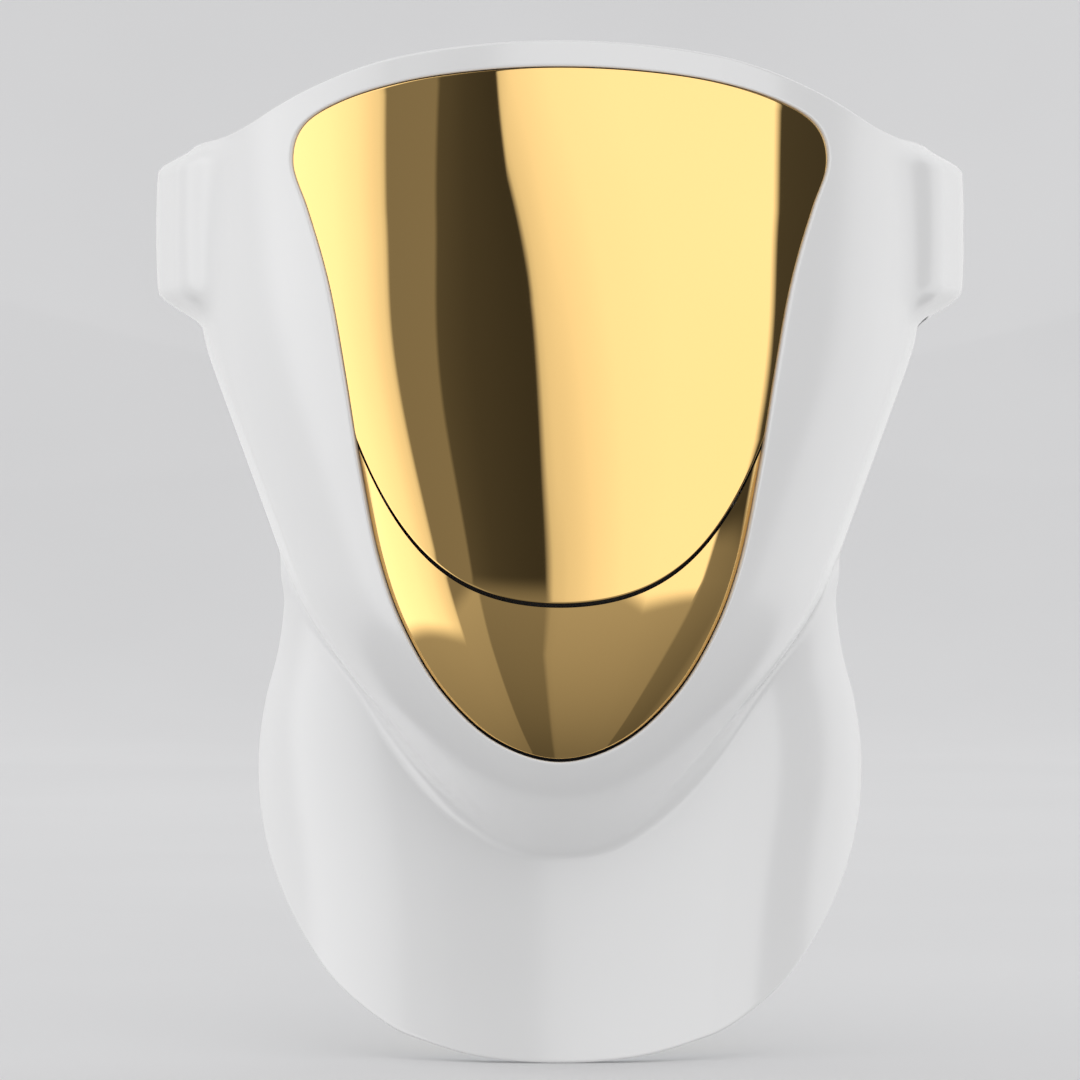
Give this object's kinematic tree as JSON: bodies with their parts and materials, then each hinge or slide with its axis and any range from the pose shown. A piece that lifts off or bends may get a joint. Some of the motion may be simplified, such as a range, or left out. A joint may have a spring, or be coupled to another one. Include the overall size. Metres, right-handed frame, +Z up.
{
  "type": "led face mask",
  "caption": "Rigid light-therapy mask for the face and neck: white shell with side pods, gold mirror visor, lit inner panels and a tilting, sliding rear head holder.",
  "frame": {"origin": "the middle of the head holder's tilt axis, level with the pods and between them, where the wearer's head is", "axes": "+X to the right of the mask as seen from in front, -Y out of the visor, +Z up along the mask's height"},
  "size_m": [0.2368, 0.2426, 0.2819],
  "materials": {
    "shell": "satin white",
    "gold_mirror": "gold one-way mirror coating on polycarbonate",
    "black_seal": "matt black",
    "panel": "frosted translucent",
    "light_board": "white solder mask",
    "ribbon": "polyimide film",
    "foam": "dark soft covering",
    "eye_cup": "soft matt silicone",
    "battery": "wrapped cell",
    "circuit": "green circuit board",
    "steel": "plain",
    "light_pipe": "clear",
    "port_trim": "matt black",
    "button": "satin white",
    "holder": "satin white"
  },
  "bodies": {
    "mask": {"front_shell": "shell", "visor_lens": "gold_mirror", "chin_lens": "gold_mirror", "crease_seal": "black_seal", "visor_gasket": "black_seal", "inner_panel_face": "panel", "inner_panel_neck": "panel", "led_board_face": "light_board", "led_board_neck": "light_board", "board_ribbon": "ribbon", "eye_shield_left": "eye_cup", "eye_shield_right": "eye_cup", "forehead_pad": "foam", "nose_pad": "foam", "chin_pad": "foam", "battery_pack": "battery", "control_board": "circuit", "power_switch": "steel", "mode_switch": "steel", "status_light": "light_pipe", "port_bezel": "port_trim", "usb_socket": "steel", "pivot_hub_left": "holder", "pivot_hub_right": "holder", "friction_washer_left": "steel", "friction_washer_right": "steel", "pivot_pin_left": "steel", "pivot_pin_right": "steel", "screw_1": "steel", "screw_2": "steel", "screw_3": "steel", "screw_4": "steel", "screw_5": "steel", "screw_6": "steel"},
    "power_button": {"power_button": "button"},
    "mode_button": {"mode_button": "button"},
    "headband_arms": {"arm_left": "holder", "arm_right": "holder"},
    "rear_holder": {"rear_band": "holder", "rear_pad": "foam"}
  },
  "joints": [
    {"name": "headband_tilt", "type": "hinge", "parent": "mask", "child": "headband_arms", "pos_m": [0, 0, 0], "axis": [1, 0, 0], "range_deg": [-20, 60]},
    {"name": "headband_extend", "type": "slide", "parent": "headband_arms", "child": "rear_holder", "axis": [0, 1, 0], "range_m": [0, 0.025]},
    {"name": "power_press", "type": "slide", "parent": "mask", "child": "power_button", "axis": [-1, 0, 0], "range_m": [0, 0.0008], "stiffness_N_per_m": 800, "springref_m": -0.0006},
    {"name": "mode_press", "type": "slide", "parent": "mask", "child": "mode_button", "axis": [-1, 0, 0], "range_m": [0, 0.0008], "stiffness_N_per_m": 800, "springref_m": -0.0006}
  ]
}
